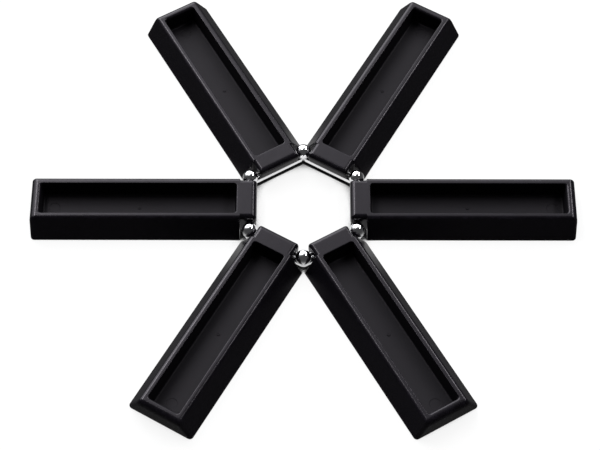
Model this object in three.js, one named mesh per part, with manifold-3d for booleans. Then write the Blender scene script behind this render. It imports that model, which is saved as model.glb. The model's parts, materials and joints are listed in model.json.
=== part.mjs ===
// A folding trivet: six moulded trough arms hinged round a hexagonal metal hub.
// Millimetres, +Z up. The origin is the hub's centre on the table, and arm 1 points along +X.
// Each arm turns up about a pin along its side of the hexagon, so that the six close into a hexagonal bundle.
import * as THREE from 'three';
import { mergeVertices } from 'three/addons/utils/BufferGeometryUtils.js';
import Module from 'manifold-3d';

const wasm = await Module();
wasm.setup();

// The whole object
const armCount = 6;
const tipRadius = 116.3;
const armHeight = 10;
const baseWidth = 30.6;

// Gap between each arm's wide base and the middle line to its neighbour, folded up and lying flat
const foldedGap = 0.96;
const openGap = 0.35;

// Hinges
const pinHeight = 5.3;
const pinDiameter = 1.8;
const pinClearance = 0.3;
const pinSocketDepth = 2.2;

// Knuckles
const ballDiameter = 6.6;
const neckDiameter = 3;
const ballToArmClearance = 0.3;

// Hub ring, whose inner flank leans outwards as it rises, and the foot ring that it stands on
const ringInset = 1.71;
const ringWidth = 3.75;
const ringThickness = 1.5;
const ringFlankLean = 0.7;
const ringCornerRadius = 2.5;
const armToRingClearance = 0.4;
const footThickness = 0.5;
const footLip = 0.85;
const footSetback = 0.1;

// Knuckle screws
const screwDiameter = 1.4;
const screwHeadDiameter = 2.6;
const screwHeadHeight = 0.8;
const screwGap = 0.3;
const screwGrip = 1.5;
const socketAcrossFlats = 0.9;
const socketDepth = 0.5;
const socketSides = 6;

// Arms
const noseLength = 2.96;
const noseCornerRadius = 3.4;
const noseToRingClearance = 0.7;
const blockTopRadius = 2.3;
const blockCornerRadius = 1.2;
const rimEdgeRadius = 2;
const endRimRadius = 2.6;
const endSlopeHeight = 2.1;
const endSlopeInset = 0.9;
const baseCornerRadius = 1.6;

// Troughs
const sideRimWidth = 2.2;
const endRimWidth = 3.1;
const blockTopLength = 8.6;
const floorThickness = 1.6;
const wallDraft = 0.5;
const troughCornerRadius = 0.8;

// Marks that the mould leaves on each trough's floor
const ejectorMarkDiameter = 4.8;
const ejectorMarkDepth = 0.3;
const ejectorMarkFromTip = 9.5;
const gateDiameter = 1.4;
const gateHeight = 0.25;

// Small values that serve every piece
const overrun = 1;
const gateSink = 0.2;
const coarseSides = 12;
const roundSides = 24;
const arcSteps = 4;
const ballRings = 7;

// Places worked out from the sizes
const armTurn = (2 * Math.PI) / armCount;
const halfTurn = armTurn / 2;
const pinRadius = pinDiameter / 2;
const boreRadius = pinRadius + pinClearance;
const ballRadius = ballDiameter / 2;
const neckRadius = neckDiameter / 2;
const pinApothem = (baseWidth / 2 + foldedGap) / Math.tan(halfTurn) - pinHeight;
const knuckleReach = pinApothem / Math.cos(halfTurn);
const halfSide = pinApothem * Math.tan(halfTurn);
const blockWidth = 2 * (halfSide - ballRadius - ballToArmClearance);
const blockStart = pinApothem - noseLength;
const flareStart = (baseWidth / 2 + openGap) / Math.tan(halfTurn);
const ringInnerApothem = pinApothem - ringInset;
const ringOuterApothem = ringInnerApothem + ringWidth;
const ringTop = footThickness + ringThickness;

const blackPlastic = () => new THREE.MeshStandardMaterial({ color: 0x1d1c20, roughness: 0.42, metalness: 0 });
const chromePlate = () => new THREE.MeshStandardMaterial({ color: 0xdcdcde, roughness: 0.08, metalness: 1 });
const plainSteel = () => new THREE.MeshStandardMaterial({ color: 0xb4b4b6, roughness: 0.3, metalness: 1 });
const blackRubber = () => new THREE.MeshStandardMaterial({ color: 0x161617, roughness: 0.7, metalness: 0 });

function toSolid(geometry) {
  const bare = geometry.clone();
  bare.deleteAttribute('normal');
  bare.deleteAttribute('uv');
  const merged = mergeVertices(bare);
  return new wasm.Manifold(new wasm.Mesh({
    numProp: 3,
    vertProperties: new Float32Array(merged.attributes.position.array),
    triVerts: new Uint32Array(merged.index.array),
  }));
}

function toGeometry(solid) {
  const mesh = solid.getMesh();
  const geometry = new THREE.BufferGeometry();
  const points = new Float32Array(mesh.vertProperties);
  geometry.setAttribute('position', new THREE.BufferAttribute(points, mesh.numProp));
  geometry.setIndex(new THREE.BufferAttribute(new Uint32Array(mesh.triVerts), 1));
  geometry.computeVertexNormals();
  return geometry;
}

// A closed outline through corners [x, y, radius], anticlockwise; a corner with no radius stays sharp
function roundedOutline(corners, target = new THREE.Shape()) {
  corners.forEach(([x, y, radius = 0], i) => {
    const corner = new THREE.Vector2(x, y);
    const before = corners.at(i - 1);
    const after = corners[(i + 1) % corners.length];
    const back = new THREE.Vector2(before[0], before[1]).sub(corner).normalize();
    const onward = new THREE.Vector2(after[0], after[1]).sub(corner).normalize();
    const half = Math.acos(back.dot(onward)) / 2;
    const start = corner.clone().addScaledVector(back, radius / Math.tan(half));
    const end = corner.clone().addScaledVector(onward, radius / Math.tan(half));
    if (i === 0) target.moveTo(start.x, start.y);
    else target.lineTo(start.x, start.y);
    if (radius > 0) {
      const centre = back.clone().add(onward).normalize().multiplyScalar(radius / Math.sin(half)).add(corner);
      const first = start.clone().sub(centre).angle();
      const last = end.clone().sub(centre).angle();
      target.absarc(centre.x, centre.y, radius, first, last, back.cross(onward) > 0);
    }
  });
  return target;
}

function rectangle(left, right, halfWidth, radius) {
  return roundedOutline([
    [left, -halfWidth, radius], [right, -halfWidth, radius],
    [right, halfWidth, radius], [left, halfWidth, radius],
  ]);
}

function extruded(shape, depth) {
  return new THREE.ExtrudeGeometry(shape, { depth, bevelEnabled: false, curveSegments: arcSteps });
}

function upright(shape, bottom, top) {
  return extruded(shape, top - bottom).translate(0, 0, bottom);
}

// A bar along X whose section lies in Y and Z
function barAlongX(section, start, end) {
  return extruded(section, end - start).rotateX(Math.PI / 2).rotateZ(Math.PI / 2).translate(start, 0, 0);
}

// A cylinder along Y, centred on the arm's middle
function crossCylinder(radius, length, x, z) {
  return new THREE.CylinderGeometry(radius, radius, length, roundSides).translate(x, 0, z);
}

// A cylinder or cone along Z
function uprightCone(lowRadius, highRadius, bottom, top, sides) {
  const height = top - bottom;
  const geometry = new THREE.CylinderGeometry(highRadius, lowRadius, height, sides);
  return geometry.rotateX(Math.PI / 2).translate(0, 0, bottom + height / 2);
}

// The arm seen from its side, X outwards and Y up: a round nose round the pin, a step over the ring,
// and an outer end that leans in near the rim and rounds over
function armSideOutline() {
  const stepX = ringOuterApothem + armToRingClearance;
  const underside = ringTop + noseToRingClearance;
  return roundedOutline([
    [stepX, 0], [tipRadius, 0],
    [tipRadius, armHeight - endSlopeHeight], [tipRadius - endSlopeInset, armHeight, endRimRadius],
    [blockStart, armHeight, blockTopRadius], [blockStart, underside, noseCornerRadius], [stepX, underside],
  ]);
}

// A section that narrows from its base to the rim, with rounded rim edges
function armSection(width) {
  return roundedOutline([
    [-width / 2, 0], [width / 2, 0],
    [blockWidth / 2, armHeight, rimEdgeRadius], [-blockWidth / 2, armHeight, rimEdgeRadius],
  ]);
}

// Pulls a pocket's floor in on all four sides, so that its walls lean outwards
function drafted(geometry) {
  geometry.computeBoundingBox();
  const middle = geometry.boundingBox.getCenter(new THREE.Vector3());
  const position = geometry.attributes.position;
  for (let i = 0; i < position.count; i += 1) {
    if (position.getZ(i) > middle.z) continue;
    position.setX(i, position.getX(i) - Math.sign(position.getX(i) - middle.x) * wallDraft);
    position.setY(i, position.getY(i) - Math.sign(position.getY(i) - middle.y) * wallDraft);
  }
  return geometry;
}

function makeArm() {
  const side = extruded(armSideOutline(), baseWidth + 2 * overrun)
    .rotateX(Math.PI / 2).translate(0, baseWidth / 2 + overrun, 0);
  const flarePlan = upright(
    rectangle(flareStart - baseWidth, tipRadius, baseWidth / 2, baseCornerRadius),
    -overrun, armHeight + overrun);
  const flare = toSolid(barAlongX(armSection(baseWidth), flareStart, tipRadius + overrun))
    .intersect(toSolid(flarePlan));
  const blockPlan = upright(
    rectangle(blockStart, flareStart + blockWidth, blockWidth / 2, blockCornerRadius),
    -overrun, armHeight + overrun);
  const block = toSolid(barAlongX(armSection(blockWidth), blockStart - overrun, flareStart + overrun))
    .intersect(toSolid(blockPlan));

  const troughStart = blockStart + blockTopLength;
  const troughEnd = tipRadius - endSlopeInset - endRimWidth;
  const troughMiddle = (troughStart + troughEnd) / 2;
  const trough = drafted(upright(
    rectangle(troughStart, troughEnd, blockWidth / 2 - sideRimWidth, troughCornerRadius),
    floorThickness, armHeight + overrun));
  const bore = crossCylinder(boreRadius, baseWidth, pinApothem, pinHeight);
  const mark = uprightCone(
    ejectorMarkDiameter / 2, ejectorMarkDiameter / 2, floorThickness - ejectorMarkDepth,
    floorThickness + overrun, roundSides).translate(tipRadius - ejectorMarkFromTip, 0, 0);
  const gate = uprightCone(
    gateDiameter / 2, gateDiameter / 2, floorThickness - gateSink, floorThickness + gateHeight,
    coarseSides).translate(troughMiddle, 0, 0);
  return toGeometry(
    flare.add(block).intersect(toSolid(side))
      .subtract(toSolid(trough)).subtract(toSolid(bore)).subtract(toSolid(mark)).add(toSolid(gate)));
}

// A pin along Y that ends inside the knuckles at both ends
function makePin() {
  const length = 2 * (halfSide - ballRadius + pinSocketDepth);
  return crossCylinder(pinRadius, length, pinApothem, pinHeight);
}

// The corners of a hexagon whose sides are square to the arms
function hexagonCorners(apothem, radius) {
  const reach = apothem / Math.cos(halfTurn);
  return Array.from({ length: armCount }, (_, i) => {
    const angle = armTurn * i + halfTurn;
    return [reach * Math.cos(angle), reach * Math.sin(angle), radius];
  });
}

// Takes the same cuts out of a solid at each of the hub's corners
function cutAtCorners(solid, cuts) {
  let left = solid;
  for (let i = 0; i < armCount; i += 1) {
    for (const cut of cuts) {
      const placed = cut.clone().translate(knuckleReach, 0, 0).rotateZ(armTurn * i + halfTurn);
      left = left.subtract(toSolid(placed));
    }
  }
  return left;
}

// A metal plate with a six-sided window that widens upwards, and countersunk screw holes from below
function makeRing() {
  const plate = upright(
    roundedOutline(hexagonCorners(ringOuterApothem, ringCornerRadius)), footThickness, ringTop);
  const overrunLean = (ringFlankLean * overrun) / ringThickness;
  const lowReach = (ringInnerApothem - overrunLean) / Math.cos(halfTurn);
  const highReach = (ringInnerApothem + ringFlankLean + overrunLean) / Math.cos(halfTurn);
  const window = uprightCone(lowReach, highReach, footThickness - overrun, ringTop + overrun, armCount);
  const holeRadius = screwDiameter / 2 + screwGap;
  const headRadius = screwHeadDiameter / 2 + screwGap;
  const headTop = footThickness + screwHeadHeight;
  const hole = uprightCone(holeRadius, holeRadius, headTop - overrun, ringTop + overrun, coarseSides);
  const sink = uprightCone(headRadius, holeRadius, footThickness, headTop, roundSides);
  const mouth = uprightCone(headRadius, headRadius, footThickness - overrun, footThickness, roundSides);
  return toGeometry(cutAtCorners(toSolid(plate).subtract(toSolid(window)), [hole, sink, mouth]));
}

// A thin soft ring under the plate, with a hole for each screw's head
function makeFoot() {
  const outline = roundedOutline(hexagonCorners(ringOuterApothem - footSetback, ringCornerRadius));
  outline.holes.push(roundedOutline(hexagonCorners(ringInnerApothem - footLip, 0), new THREE.Path()));
  const headRadius = screwHeadDiameter / 2 + screwGap;
  const hole = uprightCone(headRadius, headRadius, -overrun, footThickness + overrun, roundSides);
  return toGeometry(cutAtCorners(toSolid(upright(outline, 0, footThickness)), [hole]));
}

// A ball on a short neck, turned about its own upright axis, with a socket for each of its two pins
function makeKnuckle() {
  const neckAngle = Math.asin(neckRadius / ballRadius);
  const profile = [new THREE.Vector2(0, ringTop), new THREE.Vector2(neckRadius, ringTop)];
  for (let i = 0; i < ballRings; i += 1) {
    const angle = neckAngle + ((Math.PI - neckAngle) * i) / ballRings;
    profile.push(new THREE.Vector2(ballRadius * Math.sin(angle), pinHeight - ballRadius * Math.cos(angle)));
  }
  profile.push(new THREE.Vector2(0, pinHeight + ballRadius));
  let solid = toSolid(new THREE.LatheGeometry(profile, roundSides).rotateX(Math.PI / 2));
  const socketStart = ballRadius - pinSocketDepth - pinClearance;
  for (const side of [-1, 1]) {
    const socket = uprightCone(boreRadius, boreRadius, socketStart, ballRadius + overrun, coarseSides)
      .rotateY(Math.PI / 2).rotateZ(side * (Math.PI / 2 + halfTurn)).translate(0, 0, pinHeight);
    solid = solid.subtract(toSolid(socket));
  }
  const screwBoreRadius = screwDiameter / 2 + screwGap;
  const screwBore = uprightCone(
    screwBoreRadius, screwBoreRadius, ringTop - overrun, ringTop + screwGrip + screwGap, coarseSides);
  return toGeometry(solid.subtract(toSolid(screwBore)));
}

// A countersunk screw with a six-sided socket, driven from below
function makeScrew() {
  const shankRadius = screwDiameter / 2;
  const headTop = footThickness + screwHeadHeight;
  const head = uprightCone(screwHeadDiameter / 2, shankRadius, footThickness, headTop, roundSides);
  const shank = uprightCone(
    shankRadius, shankRadius, headTop - screwHeadHeight / 2, ringTop + screwGrip, coarseSides);
  const socketRadius = socketAcrossFlats / 2 / Math.cos(Math.PI / socketSides);
  const socket = uprightCone(
    socketRadius, socketRadius, footThickness - overrun, footThickness + socketDepth, socketSides);
  return toGeometry(toSolid(head).add(toSolid(shank)).subtract(toSolid(socket)));
}

const trivet = new THREE.Group();

// Adds a piece at a distance from the hub's centre, on the spoke at this turn
function addPiece(name, geometry, material, turn, reach) {
  const mesh = new THREE.Mesh(geometry, material);
  mesh.name = name;
  mesh.position.x = reach;
  const spoke = new THREE.Group();
  spoke.rotation.z = turn;
  spoke.add(mesh);
  trivet.add(spoke);
}

const armGeometry = makeArm();
const pinGeometry = makePin();
const knuckleGeometry = makeKnuckle();
const screwGeometry = makeScrew();

addPiece('hub_ring', makeRing(), chromePlate(), 0, 0);
addPiece('foot_ring', makeFoot(), blackRubber(), 0, 0);
for (let i = 0; i < armCount; i += 1) {
  const number = i + 1;
  const spokeTurn = armTurn * i;
  addPiece(`arm_${number}`, armGeometry, blackPlastic(), spokeTurn, 0);
  addPiece(`hinge_pin_${number}`, pinGeometry, plainSteel(), spokeTurn, 0);
  addPiece(`corner_knuckle_${number}`, knuckleGeometry, chromePlate(), spokeTurn + halfTurn, knuckleReach);
  addPiece(`knuckle_screw_${number}`, screwGeometry, plainSteel(), spokeTurn + halfTurn, knuckleReach);
}

export default trivet;
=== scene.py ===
import json
import bmesh
import bpy
import numpy as np
from mathutils import Matrix, Vector

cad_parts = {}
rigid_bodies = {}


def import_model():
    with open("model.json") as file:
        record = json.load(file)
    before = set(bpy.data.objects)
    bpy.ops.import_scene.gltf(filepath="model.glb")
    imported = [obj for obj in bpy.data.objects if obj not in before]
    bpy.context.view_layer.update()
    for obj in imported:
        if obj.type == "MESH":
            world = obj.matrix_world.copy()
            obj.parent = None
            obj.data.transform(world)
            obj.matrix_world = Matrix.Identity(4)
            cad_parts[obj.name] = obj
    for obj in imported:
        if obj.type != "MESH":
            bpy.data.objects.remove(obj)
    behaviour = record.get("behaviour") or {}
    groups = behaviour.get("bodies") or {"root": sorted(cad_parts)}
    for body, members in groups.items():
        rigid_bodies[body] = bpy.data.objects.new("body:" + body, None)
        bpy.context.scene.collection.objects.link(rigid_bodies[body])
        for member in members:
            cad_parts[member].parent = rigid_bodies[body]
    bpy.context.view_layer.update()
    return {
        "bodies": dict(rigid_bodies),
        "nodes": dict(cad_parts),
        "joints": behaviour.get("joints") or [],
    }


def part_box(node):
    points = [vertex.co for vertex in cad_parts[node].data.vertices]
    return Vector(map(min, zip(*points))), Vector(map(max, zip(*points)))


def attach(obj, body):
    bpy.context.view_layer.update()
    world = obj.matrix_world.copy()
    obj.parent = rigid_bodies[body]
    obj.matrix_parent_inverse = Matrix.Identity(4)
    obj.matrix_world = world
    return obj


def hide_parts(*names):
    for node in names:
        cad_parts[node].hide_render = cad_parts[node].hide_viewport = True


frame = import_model()
print("frame loaded:", len(frame["nodes"]), "nodes")

mm = 0.001
smoothAngle = np.radians(32)  # surfaces that meet at a smaller angle are shaded smooth
samePlace = 1e-7  # corners closer than this are one corner
overrun = 1 * mm  # how far a cutting tool reaches past the piece that it cuts

# places taken from the frame; arm 1 points along +X
armCount = sum(name.startswith("arm_") for name in frame["bodies"])
armTurn = 2 * np.pi / armCount
halfTurn = armTurn / 2
armLow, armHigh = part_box("arm_1")
ringLow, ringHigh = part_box("hub_ring")
footLow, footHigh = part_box("foot_ring")
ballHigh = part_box("corner_knuckle_1")[1]
pinLow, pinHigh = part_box("hinge_pin_1")
screwLow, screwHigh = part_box("knuckle_screw_1")
pinReach = frame["joints"][0]["pos_m"][0]
pinHeight = frame["joints"][0]["pos_m"][2]
pinRadius = (pinHigh.z - pinLow.z) / 2
ballRadius = ballHigh.z - pinHeight
knuckleReach = pinReach / np.cos(halfTurn)


# meshes from grids of points

def joined(parts):
    # stretches of an outline, each a column for each row's size times a row of shares, end to end
    return np.concatenate(parts, axis=1)


def gridFaces(rows, columns, capped=True):
    # quads between neighbouring rows, whose columns close into a loop, and a flat face on each end row
    index = np.arange(rows * columns).reshape(rows, columns)
    onward = np.roll(index, -1, axis=1)
    quads = np.stack([index[:-1], onward[:-1], onward[1:], index[1:]], axis=-1)
    faces = quads.reshape(-1, 4).tolist()
    if capped:
        faces += [index[0, ::-1].tolist(), index[-1].tolist()]
    return faces


def smoothed(mesh):
    mesh.shade_smooth()
    mesh.set_sharp_from_angle(angle=smoothAngle)
    return mesh


def makeMesh(name, points, faces):
    mesh = bpy.data.meshes.new(name)
    mesh.from_pydata(points.reshape(-1, 3), [], faces)
    shape = bmesh.new()
    shape.from_mesh(mesh)
    bmesh.ops.remove_doubles(shape, verts=shape.verts, dist=samePlace)
    bmesh.ops.recalc_face_normals(shape, faces=shape.faces)
    shape.to_mesh(mesh)
    shape.free()
    return smoothed(mesh)


def revolved(name, radii, heights, sides):
    # a profile of radii and heights carried once round the Z axis: x = r cos a, y = r sin a, z = h
    angle = np.linspace(0, 2 * np.pi, sides, endpoint=False)
    radii, heights = np.array(radii)[:, None], np.array(heights)[:, None]
    x, y, z = radii * np.cos(angle), radii * np.sin(angle), heights + 0 * angle
    return makeMesh(name, np.stack([x, y, z], axis=-1), gridFaces(*x.shape))


def shownObject(name, mesh):
    made = bpy.data.objects.new(name, mesh)
    bpy.context.scene.collection.objects.link(made)
    return made


def sealCracks(mesh):
    # an open edge that runs past another open edge's corner is split there and joined to it
    shape = bmesh.new()
    shape.from_mesh(mesh)
    for corner in [vert for vert in shape.verts if vert.is_boundary]:
        for edge in [edge for edge in shape.edges if edge.is_boundary and corner not in edge.verts]:
            first, last = edge.verts
            along = (corner.co - first.co).length
            if along + (corner.co - last.co).length - edge.calc_length() < samePlace:
                bmesh.utils.edge_split(edge, first, along / edge.calc_length())
    openCorners = [vert for vert in shape.verts if vert.is_boundary]
    bmesh.ops.remove_doubles(shape, verts=openCorners, dist=samePlace)
    shape.to_mesh(mesh)
    shape.free()


def carved(mesh, operation, tools):
    # the mesh with each tool's space taken out of it, or added to it
    block = shownObject("block", mesh)
    helpers = [shownObject("tool", tool) for tool in tools]
    for helper in helpers:
        cut = block.modifiers.new("cut", "BOOLEAN")
        cut.operation = operation
        cut.solver = "EXACT"
        cut.object = helper
    shaped = block.evaluated_get(bpy.context.evaluated_depsgraph_get())
    result = bpy.data.meshes.new_from_object(shaped)
    for spare in [block, *helpers]:
        bpy.data.objects.remove(spare)
    sealCracks(result)
    return smoothed(result)


def addPiece(name, mesh, spoke, reach, body, material, node):
    # sets a copy of the mesh out from the hub's centre, on the spoke at this turn
    piece = shownObject(name, mesh.copy())
    piece.data.transform(Matrix.Rotation(spoke, 4, "Z") @ Matrix.Translation((reach, 0, 0)))
    piece.data.materials.clear()
    piece.data.materials.append(material)
    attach(piece, body)
    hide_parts(node)


# shader nodes

class Value:
    # a number or colour on a shader socket; operators and atLeast add Math nodes
    def __init__(self, paint, socket):
        self.paint = paint
        self.socket = socket

    def maths(self, operation, first, second):
        return self.paint.add("ShaderNodeMath", dict(operation=operation), {0: first, 1: second})

    def __add__(self, other):
        return self.maths("ADD", self, other)

    def __radd__(self, other):
        return self.maths("ADD", other, self)

    def __sub__(self, other):
        return self.maths("SUBTRACT", self, other)

    def __rsub__(self, other):
        return self.maths("SUBTRACT", other, self)

    def __mul__(self, other):
        return self.maths("MULTIPLY", self, other)

    def __rmul__(self, other):
        return self.maths("MULTIPLY", other, self)

    def __pow__(self, other):
        return self.maths("POWER", self, other)

    def __rpow__(self, other):
        return self.maths("POWER", other, self)

    def atLeast(self, least):
        return self.maths("MAXIMUM", self, least)


class Paint:
    # the node tree of a material, or of the room
    def __init__(self, owner):
        self.owner = owner
        owner.use_nodes = True
        self.tree = owner.node_tree
        self.tree.nodes.clear()

    def add(self, kind, settings, inputs, output=0):
        node = self.tree.nodes.new(kind)
        for key, value in settings.items():
            setattr(node, key, value)
        for key, value in inputs.items():
            if isinstance(value, Value):
                self.tree.links.new(value.socket, node.inputs[key])
            else:
                node.inputs[key].default_value = value
        return Value(self, node.outputs[output]) if node.outputs else None

    def place(self):
        return self.add("ShaderNodeTexCoord", {}, {}, "Object")

    def mark(self, name):
        return self.add("ShaderNodeAttribute", dict(attribute_name=name), {}, "Fac")

    def stretched(self, place, scale):
        return self.add("ShaderNodeMapping", {}, {"Vector": place, "Scale": scale})

    def noise(self, place, scale, detail, roughness=0.5):
        inputs = {"Vector": place, "Scale": scale, "Detail": detail, "Roughness": roughness}
        return self.add("ShaderNodeTexNoise", {}, inputs, "Fac")

    def band(self, value, low, high, lowOut=0.0, highOut=1.0):
        # a smooth step of the value between low and high
        inputs = {"Value": value, "From Min": low, "From Max": high, "To Min": lowOut, "To Max": highOut}
        return self.add("ShaderNodeMapRange", dict(interpolation_type="SMOOTHSTEP"), inputs)

    def blend(self, share, first, second):
        # a colour between two colours, which are this node's sockets 6 and 7
        return self.add("ShaderNodeMix", dict(data_type="RGBA"), {0: share, 6: first, 7: second}, 2)

    def bump(self, height, distance, normal=None):
        inputs = {"Height": height, "Distance": distance, "Strength": 1.0}
        if normal is not None:
            inputs["Normal"] = normal
        return self.add("ShaderNodeBump", {}, inputs)

    def shader(self, **inputs):
        # the sockets' names, with _ for each space
        named = {key.replace("_", " "): value for key, value in inputs.items()}
        return self.add("ShaderNodeBsdfPrincipled", {}, named)

    def mixed(self, share, first, second):
        return self.add("ShaderNodeMixShader", {}, {0: share, 1: first, 2: second})

    def finish(self, shader, output="ShaderNodeOutputMaterial"):
        self.add(output, {}, {"Surface": shader})
        return self.owner


# materials

plasticLook = dict(
    colour=(0.0030, 0.0026, 0.0038, 1),
    wornColour=(0.009, 0.008, 0.011, 1),
    specularLevel=0.20,
    glossTint=(0.98, 0.92, 1.0, 1),
    roughness=0.24,
    driftRoughness=0.08,  # between its glossiest and dullest places
    driftScale=38,
    troughRoughness=0.30,  # more than outside
    troughDullness=0.45,  # share of the dull finish in the troughs: partly a real duller moulded finish, partly painted shade that dims the troughs
    dullRoughness=0.6,
    dullLevel=0.04,
    wornShare=0.6,
    wornGloss=0.06,
    wornScale=260,
    wornBand=(0.42, 0.66),
    scuffShare=0.4,
    scuffRoughness=0.04,
    scuffScale=900,
    scuffStretch=(1, 1, 6),
    scuffBand=(0.62, 0.72),
    grainScale=5200,
    grainDepth=0.006 * mm,
    waveScale=55,
    waveDepth=0.12 * mm,
)


def mouldedPlastic():
    # black moulding with a fine grain, faint sink waves, drift in its gloss and rims worn smooth; inside
    #     # the troughs it is partly a duller finish, which also paints shade into them by dimming their
    #     gloss
    look = plasticLook
    paint = Paint(bpy.data.materials.new("black_plastic"))
    place = paint.place()
    edge = paint.mark("edge")
    inTrough = paint.mark("inTrough")
    drift = paint.noise(place, look["driftScale"], detail=4, roughness=0.6)
    blotches = paint.noise(place, look["wornScale"], detail=4, roughness=0.65)
    streaks = paint.noise(paint.stretched(place, look["scuffStretch"]), look["scuffScale"],
                          detail=5, roughness=0.7)
    wear = edge * paint.band(blotches, *look["wornBand"])
    scuffs = paint.band(streaks, *look["scuffBand"])
    worn = wear * look["wornShare"] + scuffs * edge * look["scuffShare"]
    roughness = (look["roughness"] + (drift - 0.5) * look["driftRoughness"]
                 + inTrough * look["troughRoughness"] - wear * look["wornGloss"]
                 + scuffs * look["scuffRoughness"])
    waves = paint.bump(paint.noise(place, look["waveScale"], detail=2), look["waveDepth"])
    grain = paint.bump(paint.noise(place, look["grainScale"], detail=2), look["grainDepth"], waves)
    colour = paint.blend(worn, look["colour"], look["wornColour"])
    glossy = paint.shader(Base_Color=colour, Roughness=roughness, Normal=grain,
                          Specular_IOR_Level=look["specularLevel"], Specular_Tint=look["glossTint"])
    # painted shade: a low-gloss copy of the plastic, mixed into the troughs, that darkens them as if shaded
    dullAndShaded = paint.shader(Base_Color=look["colour"], Roughness=look["dullRoughness"],
                        Specular_IOR_Level=look["dullLevel"])
    return paint.finish(paint.mixed(inTrough * look["troughDullness"], glossy, dullAndShaded))


chromeLook = dict(
    colour=(0.86, 0.86, 0.87, 1),
    smudgeColour=(0.68, 0.68, 0.70, 1),
    smudgeShare=0.35,
    smudgeRoughness=0.06,
    smudgeScale=420,
    smudgeBand=(0.45, 0.75),
    roughness=0.04,
    scratchRoughness=0.05,
    scratchScale=2600,
    scratchStretch=(1, 1, 9),
    scratchBand=(0.6, 0.75),
    scratchDepth=0.0012 * mm,
)


def chromePlating():
    # bright plating with handling smudges and hairline scratches
    look = chromeLook
    paint = Paint(bpy.data.materials.new("chrome"))
    place = paint.place()
    blotches = paint.noise(place, look["smudgeScale"], detail=4, roughness=0.6)
    smudge = paint.band(blotches, *look["smudgeBand"])
    hairline = paint.noise(paint.stretched(place, look["scratchStretch"]), look["scratchScale"],
                           detail=4, roughness=0.7)
    colour = paint.blend(smudge * look["smudgeShare"], look["colour"], look["smudgeColour"])
    roughness = (look["roughness"] + smudge * look["smudgeRoughness"]
                 + paint.band(hairline, *look["scratchBand"]) * look["scratchRoughness"])
    return paint.finish(paint.shader(Base_Color=colour, Roughness=roughness, Metallic=1.0,
                                     Normal=paint.bump(hairline, look["scratchDepth"])))


steelLook = dict(
    colour=(0.52, 0.52, 0.53, 1),
    tarnishColour=(0.34, 0.34, 0.35, 1),
    tarnishShare=0.6,
    tarnishRoughness=0.12,
    tarnishScale=700,
    tarnishBand=(0.4, 0.7),
    roughness=0.28,
    turningRoughness=0.1,
    turningScale=5200,
    turningStretch=(0.3, 0.3, 7),
    turningDepth=0.002 * mm,
)


def drawnSteel():
    # plain steel with fine turning marks round its axis and a little tarnish
    look = steelLook
    paint = Paint(bpy.data.materials.new("steel"))
    place = paint.place()
    blotches = paint.noise(place, look["tarnishScale"], detail=4, roughness=0.6)
    tarnish = paint.band(blotches, *look["tarnishBand"])
    turning = paint.noise(paint.stretched(place, look["turningStretch"]), look["turningScale"], detail=3)
    colour = paint.blend(tarnish * look["tarnishShare"], look["colour"], look["tarnishColour"])
    roughness = (look["roughness"] + tarnish * look["tarnishRoughness"]
                 + (turning - 0.5) * look["turningRoughness"])
    return paint.finish(paint.shader(Base_Color=colour, Roughness=roughness, Metallic=1.0,
                                     Normal=paint.bump(turning, look["turningDepth"])))


rubberLook = dict(
    colour=(0.010, 0.010, 0.011, 1),
    dustColour=(0.045, 0.045, 0.047, 1),
    dustShare=0.5,
    dustRoughness=0.12,
    dustScale=900,
    dustBand=(0.5, 0.8),
    roughness=0.72,
    pebbleScale=3400,
    pebbleDepth=0.02 * mm,
)


def footRubber():
    # matt black rubber with a fine pebbled skin and a little dust in it
    look = rubberLook
    paint = Paint(bpy.data.materials.new("black_rubber"))
    place = paint.place()
    blotches = paint.noise(place, look["dustScale"], detail=4, roughness=0.65)
    dust = paint.band(blotches, *look["dustBand"])
    pebbles = paint.bump(paint.noise(place, look["pebbleScale"], detail=2), look["pebbleDepth"])
    colour = paint.blend(dust * look["dustShare"], look["colour"], look["dustColour"])
    roughness = look["roughness"] + dust * look["dustRoughness"]
    return paint.finish(paint.shader(Base_Color=colour, Roughness=roughness, Normal=pebbles))


blackPlastic = mouldedPlastic()
chrome = chromePlating()
steel = drawnSteel()
rubber = footRubber()
print("materials made")


# arms

armSize = dict(
    blockToBall=0.3 * mm,  # gap between an arm's block and the ball beside it
    blockTop=8.6 * mm,  # from the block's inner end to the trough
    sideRim=2.2 * mm,
    endRim=3.1 * mm,
    flareGap=0.35 * mm,  # from the wide base's inner corner to the middle line between two arms
    rimEdge=2.0 * mm,  # radius of the rim's outer edge along the sides
    tipEdge=2.6 * mm,  # and at the tip
    blockEdge=2.3 * mm,  # radius of the block's top edge towards the hub
    footEdge=0.3 * mm,  # radius of the outside's bottom edge
    blockCorner=1.2 * mm,  # radius seen from above, at the rim, and the least that is left further down
    leastBlockCorner=0.25 * mm,
    tipCorner=1.6 * mm,
    leastTipCorner=0.5 * mm,
    stepEdge=0.4 * mm,  # radius of the step from the narrow block out to the wide base
    leastStepEdge=0.001 * mm,
    stepShare=0.35,  # the most of the step's width that each of its two roundings takes
    noseEdge=3.4 * mm,  # radius below the block, which lets the arm fold
    noseGap=0.7 * mm,  # from the ring up to the block's underside
    stepGap=0.4 * mm,  # from the ring out to the step in the underside
    levelShare=0.7,  # of the block's underside height, where its rows turn from along it to down the step
    slopeHeight=2.1 * mm,  # the slope on top of the tip
    slopeInset=0.9 * mm,
    slopeBreak=0.35 * mm,  # width over which the slope bends into the tip's wall
    undersideInset=0.3 * mm,  # from the outline of the flat underside to the row inside it
    boreGap=0.3 * mm,  # round the pin
)
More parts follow.
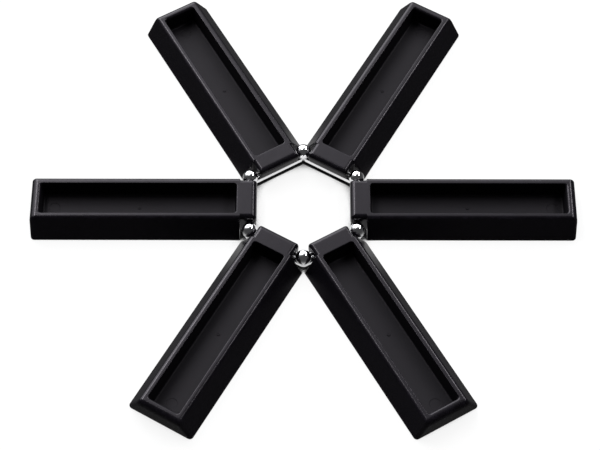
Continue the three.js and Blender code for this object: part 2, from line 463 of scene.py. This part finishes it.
troughSize = dict(
    floorThickness=1.6 * mm,
    draft=0.5 * mm,  # how far the walls lean in from mouth to floor
    corner=0.8 * mm,  # radius seen from above, at the mouth, and the least that is left further down
    leastCorner=0.15 * mm,
    mouthEdge=0.3 * mm,  # radius of the top edge along the sides
    tipMouthEdge=1.1 * mm,  # and at the tip
    floorEdge=0.7 * mm,  # radius between the walls and the floor
    floorInsets=(0.9 * mm, 0.25 * mm),  # from the flat floor's outline to the two rows inside it
)
ejectorMark = dict(fromTip=9.5 * mm, diameter=4.8 * mm, depth=0.1 * mm, lean=0.15 * mm)
gateMark = dict(
    radius=0.75 * mm,
    height=0.25 * mm,
    sink=0.2 * mm,  # how far it goes down into the floor
    chamfer=0.12 * mm,
    chamferHeight=0.125 * mm,
    pitRadius=0.3 * mm,
    pitDepth=0.2 * mm,
)
wearMarks = dict(
    flatRim=0.4,
    start=1.2,  # the outer edge's mark is this, less the fall for each radius below the rim
    fall=2,
    mouthShare=0.04,  # top share of the trough's depth that counts as rim
)

blockHalf = pinReach * np.tan(halfTurn) - ballRadius - armSize["blockToBall"]  # half the block's width
troughStart = armLow.x + armSize["blockTop"]
troughEnd = armHigh.x - armSize["slopeInset"] - armSize["endRim"]

# points along each stretch of an outline, from the middle of the inner end to that of the tip
endShares = np.array([0, 0.5, 0.97])
cornerTurn = np.linspace(0, np.pi / 2, 7)
flankShares = np.array([0.06, 0.5, 0.94])
hollowTurn = np.linspace(0, np.pi / 2, 4)
ridgeTurn = np.linspace(0, np.pi / 2, 5)
sideShares = np.concatenate([[0.004], np.linspace(0.04, 0.96, 24), [0.996]])
tipTurn = np.linspace(0, np.pi / 2, 9)
tipShares = np.array([0.03, 0.5, 1])

# rows of the outside, from the rim down, then of the trough, from its floor up
rowGap = 0.08 * mm  # between a bend's rows and the next row
footRowGap = 0.06 * mm
edgeTurn = np.linspace(0, np.pi / 2, 17)
breakShares = np.linspace(-1, 1, 7)
wallStart = 1.3  # where the flat wall's rows start, in heights of the tip's slope
wallRows = 4
noseTurn = np.linspace(0.12, np.pi / 2, 12)
underShares = np.linspace(0.88, 0.3, 5)
footTurn = np.linspace(0, np.pi / 2, 9)
floorTurn = np.linspace(0, np.pi / 2, 8)
mouthShares = 1.08 * np.linspace(1, 0, 14)**2  # closer together towards the rim
rimShares = np.array([0.08, 0.5, 0.92])


def wallReach(drop, radius, lean):
    # how far a wall stands out from its sharp top edge, at a drop below the top: a round edge of this
    # radius, then a plane at this angle to the horizontal
    arc = np.sqrt(np.maximum(2 * radius * drop - drop**2, 0)) - radius * np.tan(lean / 2)
    return np.where(drop < radius * (1 - np.cos(lean)), arc, drop / np.tan(lean))


def footReach(rise, radius, lean):
    # the same from the wall's sharp bottom edge, at a rise above the foot
    arc = np.sqrt(np.maximum(2 * radius * rise - rise**2, 0)) - radius / np.tan(lean / 2)
    return np.where(rise < radius * (1 + np.cos(lean)), arc, -rise / np.tan(lean))


def edgeInset(drop, radius):
    # how far a round right-angled edge lies inside its sharp corner
    return np.where(drop < radius, radius - np.sqrt(np.maximum(2 * radius * drop - drop**2, 0)), 0)


def softMinimum(first, second, width):
    # the smaller of the two, less the square of what their difference lacks of the width, over 4 widths
    lack = np.maximum(width - np.abs(first - second), 0)
    return np.minimum(first, second) - lack**2 / (4 * width)


def armOutline(start, startHeight, corner, flank, step, side, tip, tipCorner, height):
    # half an arm's outline: inner end, round corner, flank, step out to the wide base, side, round
    # corner, tip. Every size is a column, so each row of the result is one outline as x, y and z.
    ease = np.clip(armSize["stepShare"] * (side - flank), armSize["leastStepEdge"], armSize["stepEdge"])
    flankEnd = step - ease
    sideStart = step + ease
    x = joined([
        start + 0 * endShares, start + corner * (1 - np.cos(cornerTurn)),
        start + corner + (flankEnd - start - corner) * flankShares, flankEnd + ease * np.sin(hollowTurn),
        step + 0 * side, step + ease * (1 - np.cos(ridgeTurn)),
        sideStart + (tip - tipCorner - sideStart) * sideShares,
        tip - tipCorner + tipCorner * np.sin(tipTurn), tip + 0 * tipShares])
    y = joined([
        (flank - corner) * endShares, flank - corner + corner * np.sin(cornerTurn),
        flank + 0 * flankShares, flank + ease * (1 - np.cos(hollowTurn)),
        (flank + side) / 2, side - ease + ease * np.sin(ridgeTurn), side + 0 * sideShares,
        side - tipCorner + tipCorner * np.cos(tipTurn), (side - tipCorner) * (1 - tipShares)])
    climb = joined([
        startHeight + 0 * endShares, startHeight + 0 * cornerTurn,
        startHeight + (height - startHeight) * flankShares])
    level = np.repeat(height, x.shape[1] - climb.shape[1], axis=1)
    return np.stack([x, y, joined([climb, level])], axis=-1)


def troughOutline(start, corner, side, tip, height):
    # half the trough's outline with as many points; the stretches from the arm's round inner corner
    # to the end of its step all lie on the trough's own corner
    count = cornerTurn.size + flankShares.size + hollowTurn.size + 1 + ridgeTurn.size
    turn = np.linspace(0, np.pi / 2, count)
    x = joined([
        start + 0 * endShares, start + corner * (1 - np.cos(turn)),
        start + corner + (tip - start - 2 * corner) * sideShares,
        tip - corner + corner * np.sin(tipTurn), tip + 0 * tipShares])
    y = joined([
        (side - corner) * endShares, side - corner + corner * np.sin(turn), side + 0 * sideShares,
        side - corner + corner * np.cos(tipTurn), (side - corner) * (1 - tipShares)])
    return np.stack([x, y, height + 0 * x], axis=-1)


def outsideRows():
    # the rows of half an arm's outside, from its round top edge down to its flat underside, and how worn
    # each row is
    size = armSize
    start, tip, baseHalf, height = armLow.x, armHigh.x, armHigh.y, armHigh.z
    edge, foot = size["rimEdge"], size["footEdge"]
    step = (baseHalf + size["flareGap"]) / np.tan(halfTurn)
    sideLean = np.arctan2(height, baseHalf - blockHalf)
    tipLean = np.arctan2(size["slopeHeight"], size["slopeInset"])
    noseTop = ringHigh.z + size["noseGap"]

    # drops below the rim: the round edge, the bend at the tip, the wall, the nose, its underside, the foot
    edgeRows = edge * (1 - np.cos(edgeTurn))
    breakRows = size["slopeHeight"] + size["slopeBreak"] * breakShares
    noseStart = height - noseTop - size["noseEdge"]
    footRise = foot * (1 + np.cos(sideLean))
    drop = np.concatenate([
        edgeRows[edgeRows < breakRows[0] - rowGap], breakRows,
        np.linspace(wallStart * size["slopeHeight"], noseStart, wallRows),
        height - noseTop - size["noseEdge"] * np.cos(noseTurn), height - underShares * noseTop,
        [height - footRise - footRowGap], height - footRise * np.cos(footTurn)])[:, None]
    rise = np.maximum(height - drop, 0)
    side = np.minimum(blockHalf + wallReach(drop, edge, sideLean),
                      baseHalf + footReach(rise, foot, sideLean))
    flank = blockHalf - edgeInset(drop, edge) - edgeInset(rise, foot)
    slope = tip - size["slopeInset"] + wallReach(drop, size["tipEdge"], tipLean)
    tipEnd = softMinimum(slope, tip + 0 * drop, size["slopeBreak"]) - edgeInset(rise, foot)
    corner = np.maximum(size["blockCorner"] - edgeInset(drop, edge), size["leastBlockCorner"])
    tipCorner = np.maximum(size["tipCorner"] - edgeInset(drop, edge), size["leastTipCorner"])

    # the inner end goes down its face, round the nose, out along its underside and down the step
    stepBack = ringHigh.x + size["stepGap"]
    noseEnd = start + size["noseEdge"]
    level = size["levelShare"] * noseTop
    startHeight = np.where(rise > noseTop, rise, np.where(rise > level, noseTop, rise / size["levelShare"]))
    face = start + edgeInset(drop, size["blockEdge"]) + edgeInset(rise - noseTop, size["noseEdge"])
    under = noseEnd + (stepBack - noseEnd) * (noseTop - rise) / (noseTop - level)
    innerEnd = np.where(rise > noseTop, face, np.minimum(under, stepBack)) + edgeInset(startHeight, foot)
    rows = armOutline(innerEnd, startHeight, corner, flank, step, side, tipEnd, tipCorner, rise)

    # the flat underside's outline, drawn in towards its middle
    inset = size["undersideInset"]
    underside = rows[-1:].copy()
    underside[..., 0] += np.clip((tip + step) / 2 - underside[..., 0], -inset, inset)
    underside[..., 1] -= np.minimum(underside[..., 1], inset)
    worn = wearMarks["start"] - wearMarks["fall"] * drop[:, 0] / edge
    return np.concatenate([rows, underside]), np.append(worn, 0)


def troughRows():
    # the rows of half a trough, from the middle of its floor: its round foot, its leaning wall and its
    # round mouth; with how worn each row is, and whether it is in the trough or on the rim
    size = troughSize
    mouth, tipMouth, bend = size["mouthEdge"], size["tipMouthEdge"], size["floorEdge"]
    depth = armHigh.z - size["floorThickness"]
    rise = np.concatenate([
        [0, 0], bend * (1 - np.cos(floorTurn)), [bend + rowGap, depth / 2],
        depth - tipMouth * mouthShares])[:, None]
    depthShare = 1 - rise / depth
    inset = size["draft"] * depthShare + edgeInset(rise, bend)
    inset[:2] += np.array(size["floorInsets"])[:, None]
    tipInset = inset - edgeInset(depth - rise, tipMouth)
    inset -= edgeInset(depth - rise, mouth)
    corner = np.maximum(size["corner"] - inset + size["draft"], size["leastCorner"])
    rows = troughOutline(troughStart + inset, corner, blockHalf - armSize["sideRim"] - inset,
                         troughEnd - tipInset, size["floorThickness"] + rise)
    worn = edgeInset(depth - rise[:, 0], mouth * 2) / mouth
    return rows, worn, depthShare[:, 0] > wearMarks["mouthShare"]


def armRows():
    # the rows of half an arm, from the trough's floor over the flat rim and down to the underside, and
    # each row's marks
    inside, mouthWorn, inTrough = troughRows()
    outside, outsideWorn = outsideRows()
    rim = inside[-1:] + (outside[:1] - inside[-1:]) * rimShares[:, None, None]
    rows = np.concatenate([inside, rim, outside])
    worn = np.concatenate([mouthWorn, np.full(rimShares.size, wearMarks["flatRim"]), outsideWorn])
    return rows, dict(edge=worn, inTrough=np.append(inTrough, np.zeros(len(rows) - len(inside))))


def makeArmMesh():
    # both halves of the arm, less the pin's bore and the ejector mark, and with the gate mark
    rows, marks = armRows()
    points = np.concatenate([rows, rows[:, -2:0:-1] * [1, -1, 1]], axis=1)
    mesh = bpy.data.meshes.new("arm")
    mesh.from_pydata(points.reshape(-1, 3), [], gridFaces(*points.shape[:2]))
    for name, mark in marks.items():
        values = np.repeat(np.clip(mark, 0, 1), points.shape[1]).astype(np.float32)
        mesh.attributes.new(name, "FLOAT", "POINT").data.foreach_set("value", values)

    boreRadius = pinRadius + armSize["boreGap"]
    bore = revolved("bore", [boreRadius, boreRadius], [-armHigh.y, armHigh.y], sides=40)
    bore.transform(Matrix.Translation((pinReach, 0, pinHeight)) @ Matrix.Rotation(np.pi / 2, 4, "X"))
    floor = troughSize["floorThickness"]
    radius = ejectorMark["diameter"] / 2
    disc = revolved("disc", [radius - ejectorMark["lean"], radius, radius],
                    [floor - ejectorMark["depth"], floor, floor + overrun], sides=64)
    disc.transform(Matrix.Translation((armHigh.x - ejectorMark["fromTip"], 0, 0)))
    gate, top = gateMark["radius"], floor + gateMark["height"]
    nub = revolved("nub", [gate, gate, gate - gateMark["chamfer"], gateMark["pitRadius"], 0],
                   [floor - gateMark["sink"], top - gateMark["chamferHeight"], top, top,
                    top - gateMark["pitDepth"]], sides=28)
    nub.transform(Matrix.Translation(((troughStart + troughEnd) / 2, 0, 0)))
    whole = carved(carved(mesh, "DIFFERENCE", [bore, disc]), "UNION", [nub])

    # corners that the cuts made have no marks, so those on the trough's floor get theirs here
    places = np.empty(3 * len(whole.vertices), np.float32)
    inTrough = np.empty(len(whole.vertices), np.float32)
    whole.vertices.foreach_get("co", places)
    whole.attributes["inTrough"].data.foreach_get("value", inTrough)
    x, y, z = places.reshape(-1, 3).T
    alongFloor = (x > troughStart) & (x < troughEnd) & (abs(y) < ejectorMark["diameter"])
    inTrough[alongFloor & (abs(z - floor) < floor / 2)] = 1
    whole.attributes["inTrough"].data.foreach_set("value", inTrough)
    return whole


armMesh = makeArmMesh()
for number in range(1, armCount + 1):
    addPiece(f"arm_moulding_{number}", armMesh, armTurn * (number - 1), 0, f"arm_{number}",
             blackPlastic, f"arm_{number}")
print("arms made:", len(armMesh.polygons), "faces each")


# hub ring and the soft foot ring under it; the screws' sizes come first, for their holes

screwSize = dict(
    shank=0.7 * mm,  # radius
    headHeight=0.8 * mm,
    headEdge=0.1 * mm,
    headGap=0.1 * mm,  # round head and shank in the ring
    footGap=0.3 * mm,  # round the head in the foot ring
    socket=0.52 * mm,  # from the middle to a corner
    socketDepth=0.5 * mm,
    socketPoint=0.1 * mm,
)
ringSize = dict(
    width=3.75 * mm,
    flankLean=0.7 * mm,  # how much further out the inner side's top lies than its bottom
    edge=0.12 * mm,
    outerCorner=2.5 * mm,  # radii seen from above, also for the foot ring
    innerCorner=0.13 * mm,
)
footSize = dict(
    lip=0.85 * mm,  # how far it shows inside the ring
    setback=0.1 * mm,  # from the ring's outer side
    edge=0.1 * mm,
)
screwHead = (screwHigh.y - screwLow.y) / 2
ringBend = np.linspace(-halfTurn, halfTurn, 9)
holdShares = np.array([0.01, 0.99])  # points beside the bends, which keep the sides flat
sectionBend = np.linspace(0, 1, 5)


def ringLoop(apothem, radius):
    # a hexagon with round corners: each corner's centre plus its radius in the direction of its arc
    corners = armTurn * np.arange(armCount)[:, None] + halfTurn
    reach = (apothem - radius) / np.cos(halfTurn)
    centre = np.stack([reach * np.cos(corners), reach * np.sin(corners)], axis=-1)
    around = np.stack([np.cos(corners + ringBend), np.sin(corners + ringBend)], axis=-1)
    bends = centre + radius * around
    straight = np.roll(bends[:, :1], -1, axis=0) - bends[:, -1:]
    holds = bends[:, -1:] + straight * holdShares[:, None]
    return np.concatenate([bends, holds], axis=1).reshape(-1, 2)


def roundSection(corners, radius):
    # a closed outline with round corners: each arc's centre lies one radius inside the two edges beside it
    corners = np.array(corners)
    onward = np.roll(corners, -1, axis=0) - corners
    facing = np.arctan2(-onward[:, 0], onward[:, 1])
    before = np.roll(facing, 1)
    turn = (facing - before) % (2 * np.pi)
    mean = np.stack([np.cos(before) + np.cos(facing), np.sin(before) + np.sin(facing)], axis=-1)
    centre = corners - radius * mean / (1 + np.cos(turn))[:, None]
    angle = before[:, None] + turn[:, None] * sectionBend
    return (centre[:, None] + radius * np.stack([np.cos(angle), np.sin(angle)], axis=-1)).reshape(-1, 2)


def hexagonRing(name, corners, edge, tool):
    # a section, given as apothems and heights, carried round the hexagon, less the tool at each corner
    section = roundSection(corners, edge)
    middle = section[:, 0].mean()
    loops = []
    for apothem, height in section:
        corner = ringSize["innerCorner"] if apothem < middle else ringSize["outerCorner"]
        outline = ringLoop(apothem, corner)
        loops.append(np.column_stack([outline, np.full(len(outline), height)]))
    points = np.stack(loops + loops[:1])
    mesh = makeMesh(name, points, gridFaces(*points.shape[:2], capped=False))
    holes = []
    for number in range(armCount):
        hole = tool.copy()
        turn = Matrix.Rotation(armTurn * number + halfTurn, 4, "Z")
        hole.transform(turn @ Matrix.Translation((knuckleReach, 0, 0)))
        holes.append(hole)
    return carved(mesh, "DIFFERENCE", holes)


def makeRingMesh():
    # flat above and below, with an inner side that leans outwards, and sinks for the screw heads
    low, high = ringLow.z, ringHigh.z
    inner, outer = ringHigh.x - ringSize["width"], ringHigh.x
    head, shank = screwHead + screwSize["headGap"], screwSize["shank"] + screwSize["headGap"]
    sink = revolved("sink", [head, head, shank, shank],
                    [low - overrun, low, low + screwSize["headHeight"], high + overrun], sides=40)
    corners = [(inner, low), (outer, low), (outer, high), (inner + ringSize["flankLean"], high)]
    return hexagonRing("ring", corners, ringSize["edge"], sink)


def makeFootMesh():
    # a thin strip with a straight hole round each screw head
    low, high = footLow.z, footHigh.z
    inner, outer = ringHigh.x - ringSize["width"] - footSize["lip"], ringHigh.x - footSize["setback"]
    holeRadius = screwHead + screwSize["footGap"]
    hole = revolved("hole", [holeRadius, holeRadius], [low - overrun, high + overrun], sides=40)
    corners = [(inner, low), (outer, low), (outer, high), (inner, high)]
    return hexagonRing("foot", corners, footSize["edge"], hole)


addPiece("hub_ring_plate", makeRingMesh(), 0, 0, "hub", chrome, "hub_ring")
addPiece("hub_foot_ring", makeFootMesh(), 0, 0, "hub", rubber, "foot_ring")
print("hub ring and foot ring made")


# corner knuckles, hinge pins and knuckle screws

knuckleSize = dict(neckRadius=1.5 * mm, neckHeight=0.15 * mm, socketDepth=2.2 * mm, socketGap=0.04 * mm)
pinSize = dict(chamfer=0.2 * mm)
ballRows = 44  # from the neck to the pole


def makeKnuckleMesh():
    # a neck that runs into a ball: the neck's straight side, then the ball's circle up to its pole
    neck, low = knuckleSize["neckRadius"], ringHigh.z
    turn = np.linspace(np.arcsin(neck / ballRadius), np.pi, ballRows)
    radii = np.concatenate([[0, neck, neck], ballRadius * np.sin(turn)])
    heights = np.concatenate([
        [low, low, low + knuckleSize["neckHeight"]], pinHeight - ballRadius * np.cos(turn)])
    ball = revolved("ball", radii, heights, sides=96)
    socketRadius = pinRadius + knuckleSize["socketGap"]
    socketEnds = [ballRadius - knuckleSize["socketDepth"], ballRadius + overrun]
    sockets = []
    for side in (-1, 1):
        socket = revolved("socket", [socketRadius] * 2, socketEnds, sides=40)
        outward = Matrix.Rotation(side * (np.pi / 2 + halfTurn), 4, "Z")
        flat = Matrix.Rotation(np.pi / 2, 4, "Y")
        socket.transform(Matrix.Translation((0, 0, pinHeight)) @ outward @ flat)
        sockets.append(socket)
    return carved(ball, "DIFFERENCE", sockets)


def makePinMesh():
    # a straight pin with chamfered ends, along Y
    half, chamfer = (pinHigh.y - pinLow.y) / 2, pinSize["chamfer"]
    pin = revolved("pin", [0, pinRadius - chamfer, pinRadius, pinRadius, pinRadius - chamfer, 0],
                   [-half, -half, chamfer - half, half - chamfer, half, half], sides=40)
    pin.transform(Matrix.Translation((0, 0, pinHeight)) @ Matrix.Rotation(np.pi / 2, 4, "X"))
    return pin


def makeScrewMesh():
    # a countersunk head and a shank, with a six-sided socket in the head
    low, high = screwLow.z, screwHigh.z
    shank, edge = screwSize["shank"], screwSize["headEdge"]
    screw = revolved("screw", [0, screwHead - edge, screwHead, shank, shank, 0],
                     [low, low, low + edge, low + screwSize["headHeight"], high, high], sides=48)
    across, bottom = screwSize["socket"], low + screwSize["socketDepth"]
    socket = revolved("socket", [across, across, 0],
                      [low - overrun, bottom, bottom + screwSize["socketPoint"]], sides=6)
    return carved(screw, "DIFFERENCE", [socket])


knuckleMesh = makeKnuckleMesh()
pinMesh = makePinMesh()
screwMesh = makeScrewMesh()
for number in range(1, armCount + 1):
    spoke = armTurn * (number - 1)
    addPiece(f"knuckle_ball_{number}", knuckleMesh, spoke + halfTurn, knuckleReach, "hub",
             chrome, f"corner_knuckle_{number}")
    addPiece(f"pin_{number}", pinMesh, spoke, pinReach, "hub", steel, f"hinge_pin_{number}")
    addPiece(f"screw_{number}", screwMesh, spoke + halfTurn, knuckleReach, "hub", steel,
             f"knuckle_screw_{number}")
print("knuckles, pins and screws made")


# floor, lights and camera

black, white = (0, 0, 0, 1), (1, 1, 1, 1)
stageSize = dict(
    floorSide=6.0,
    floorDrop=0.02 * mm,  # below the trivet's feet
    floorColour=(0.86, 0.86, 0.86, 1),
    shadowShare=0.12,  # of the real shadows, that the camera sees
    pitReach=12 * mm,  # how far each place on the floor looks round for pieces over it, for its painted shade
    pitShut=0.31,  # share of open sky at which the floor is painted black, as painted shade in a pit
    pitOpen=0.51,  # and at which the painted shade ends and it is white
    pitSamples=12,
    poolRadius=18 * mm,  # the painted pool of light round the hub that reflections see
    poolEnd=50 * mm,
    poolGlow=0.9,
    mirroredGlow=0.10,  # painted dim floor that reflections see, beyond the pool
)


def makeFloor():
    # a pale floor that shows white and keeps part of the real shadows, with painted shade that turns the
    # narrow pits between
    #     # the pieces dark; what reflects it sees a painted pool of light round the hub and a painted dim
    #     floor further out
    size = stageSize
    side, level = size["floorSide"] / 2, -size["floorDrop"]
    corners = [(-side, -side, level), (side, -side, level), (side, side, level), (-side, side, level)]
    mesh = bpy.data.meshes.new("floor")
    mesh.from_pydata(corners, [], [(0, 1, 2, 3)])
    floor = shownObject("floor", mesh)
    paint = Paint(bpy.data.materials.new("floor"))
    seen, mirroring, through = [paint.add("ShaderNodeLightPath", {}, {}, name)
                                for name in ("Is Camera Ray", "Is Glossy Ray", "Is Transmission Ray")]
    sky = paint.add("ShaderNodeAmbientOcclusion", dict(samples=size["pitSamples"]),
                    {"Distance": size["pitReach"]}, "AO")
    # painted shade: the floor that the camera sees is painted darker, down to black, where pieces close in
    # round it
    clearOfPaintedShade = paint.band(sky, size["pitShut"], size["pitOpen"])
    fromHub = paint.add("ShaderNodeVectorMath", dict(operation="LENGTH"), {0: paint.place()}, "Value")
    # painted reflection: glossy rays see a painted pool of light round the hub, fading to a painted dim
    # floor further out
    paintedPoolReflection = paint.band(fromHub, size["poolRadius"], size["poolEnd"],
                          size["poolGlow"], size["mirroredGlow"])
    # the camera sees the painted pit shade, reflections see the painted pool of light and the painted dim
    # floor
    paintedFloorLight = paintedPoolReflection + (clearOfPaintedShade - paintedPoolReflection) * seen
    paintedFloorColour = paint.blend(paintedFloorLight, black, white)
    glow = paint.add("ShaderNodeEmission", {}, {"Color": paintedFloorColour, "Strength": 1.0})
    shade = paint.add("ShaderNodeBsdfDiffuse", {}, {"Color": size["floorColour"]})
    lit = seen * (1 - size["shadowShare"]) + mirroring + through
    mesh.materials.append(paint.finish(paint.mixed(lit, shade, glow)))


# strip lamps, each with the directions of its two ends
lampSizes = dict(
    leftStrip=dict(ends=((-0.343, 0.707, 0.619), (-0.33, 0.17, 0.93)), width=0.17, radiance=19),
    rightStrip=dict(ends=((0.456, 0.772, 0.442), (0.52, 0.05, 0.853)), width=0.17, radiance=19),
)
lampDistance = 1.5


def makeLamps():
    # two strips, left and right, that reach from behind the trivet to high over its side, for the crisp
    # glints on its edges; a lamp's power is its radiance times pi times its area
    for name, size in lampSizes.items():
        first, last = (Vector(end).normalized() * lampDistance for end in size["ends"])
        lamp = bpy.data.lights.new(name, "AREA")
        lamp.shape = "RECTANGLE"
        lamp.size = size["width"]
        lamp.size_y = (last - first).length
        lamp.energy = size["radiance"] * np.pi * lamp.size * lamp.size_y
        along = (last - first).normalized()
        outward = (first + last).normalized()
        across = along.cross(outward)
        shownObject(name, lamp).matrix_world = (Matrix.Translation((first + last) / 2)
                                                @ Matrix((across, along, outward)).transposed().to_4x4())


roomLight = dict(
    colour=(0.97, 0.98, 1, 1),
    toSky=(-0.318, 0.786, 0.530),  # middle of the bright patch
    sky=7.8,
    spread=8.0,  # a higher power makes the patch smaller
    dim=0.06,
)


def makeRoom():
    # a dim room with a broad bright patch of sky light: the cosine from its middle, to a power
    world = bpy.data.worlds.new("room")
    paint = Paint(world)
    direction = paint.add("ShaderNodeTexCoord", {}, {}, "Generated")
    cosine = paint.add("ShaderNodeVectorMath", dict(operation="DOT_PRODUCT"),
                       {0: direction, 1: Vector(roomLight["toSky"]).normalized()}, "Value")
    strength = cosine.atLeast(0) ** roomLight["spread"] * roomLight["sky"] + roomLight["dim"]
    light = paint.add("ShaderNodeBackground", {}, {"Color": roomLight["colour"], "Strength": strength})
    bpy.context.scene.world = paint.finish(light, "ShaderNodeOutputWorld")


cameraFit = dict(
    lens=116.343,
    sensorWidth=36,
    distance=834.4 * mm,
    elevation=59.442,  # degrees, as are the turn and the roll
    turn=0.138,
    roll=-0.208,
    across=-1.434 * mm,
    above=-6.429 * mm,
)


def makeCamera():
    # looks down at the hub from the photograph's angle
    elevation, turn, roll = (np.radians(cameraFit[key]) for key in ("elevation", "turn", "roll"))
    right = Vector((1, 0, 0))
    ahead = Vector((0, np.cos(elevation), -np.sin(elevation)))
    above = Vector((0, np.sin(elevation), np.cos(elevation)))
    place = -ahead * cameraFit["distance"] + right * cameraFit["across"] + above * cameraFit["above"]
    rolledRight = right * np.cos(roll) - above * np.sin(roll)
    rolledAbove = right * np.sin(roll) + above * np.cos(roll)
    facing = Matrix((rolledRight, rolledAbove, -ahead)).transposed().to_4x4()
    lens = bpy.data.cameras.new("camera")
    lens.lens = cameraFit["lens"]
    lens.sensor_width = cameraFit["sensorWidth"]
    camera = shownObject("camera", lens)
    camera.matrix_world = Matrix.Rotation(-turn, 4, "Z") @ Matrix.Translation(place) @ facing
    bpy.context.scene.camera = camera


makeFloor()
makeLamps()
makeRoom()
makeCamera()
bpy.context.scene.view_settings.view_transform = "Standard"
print("stage made")
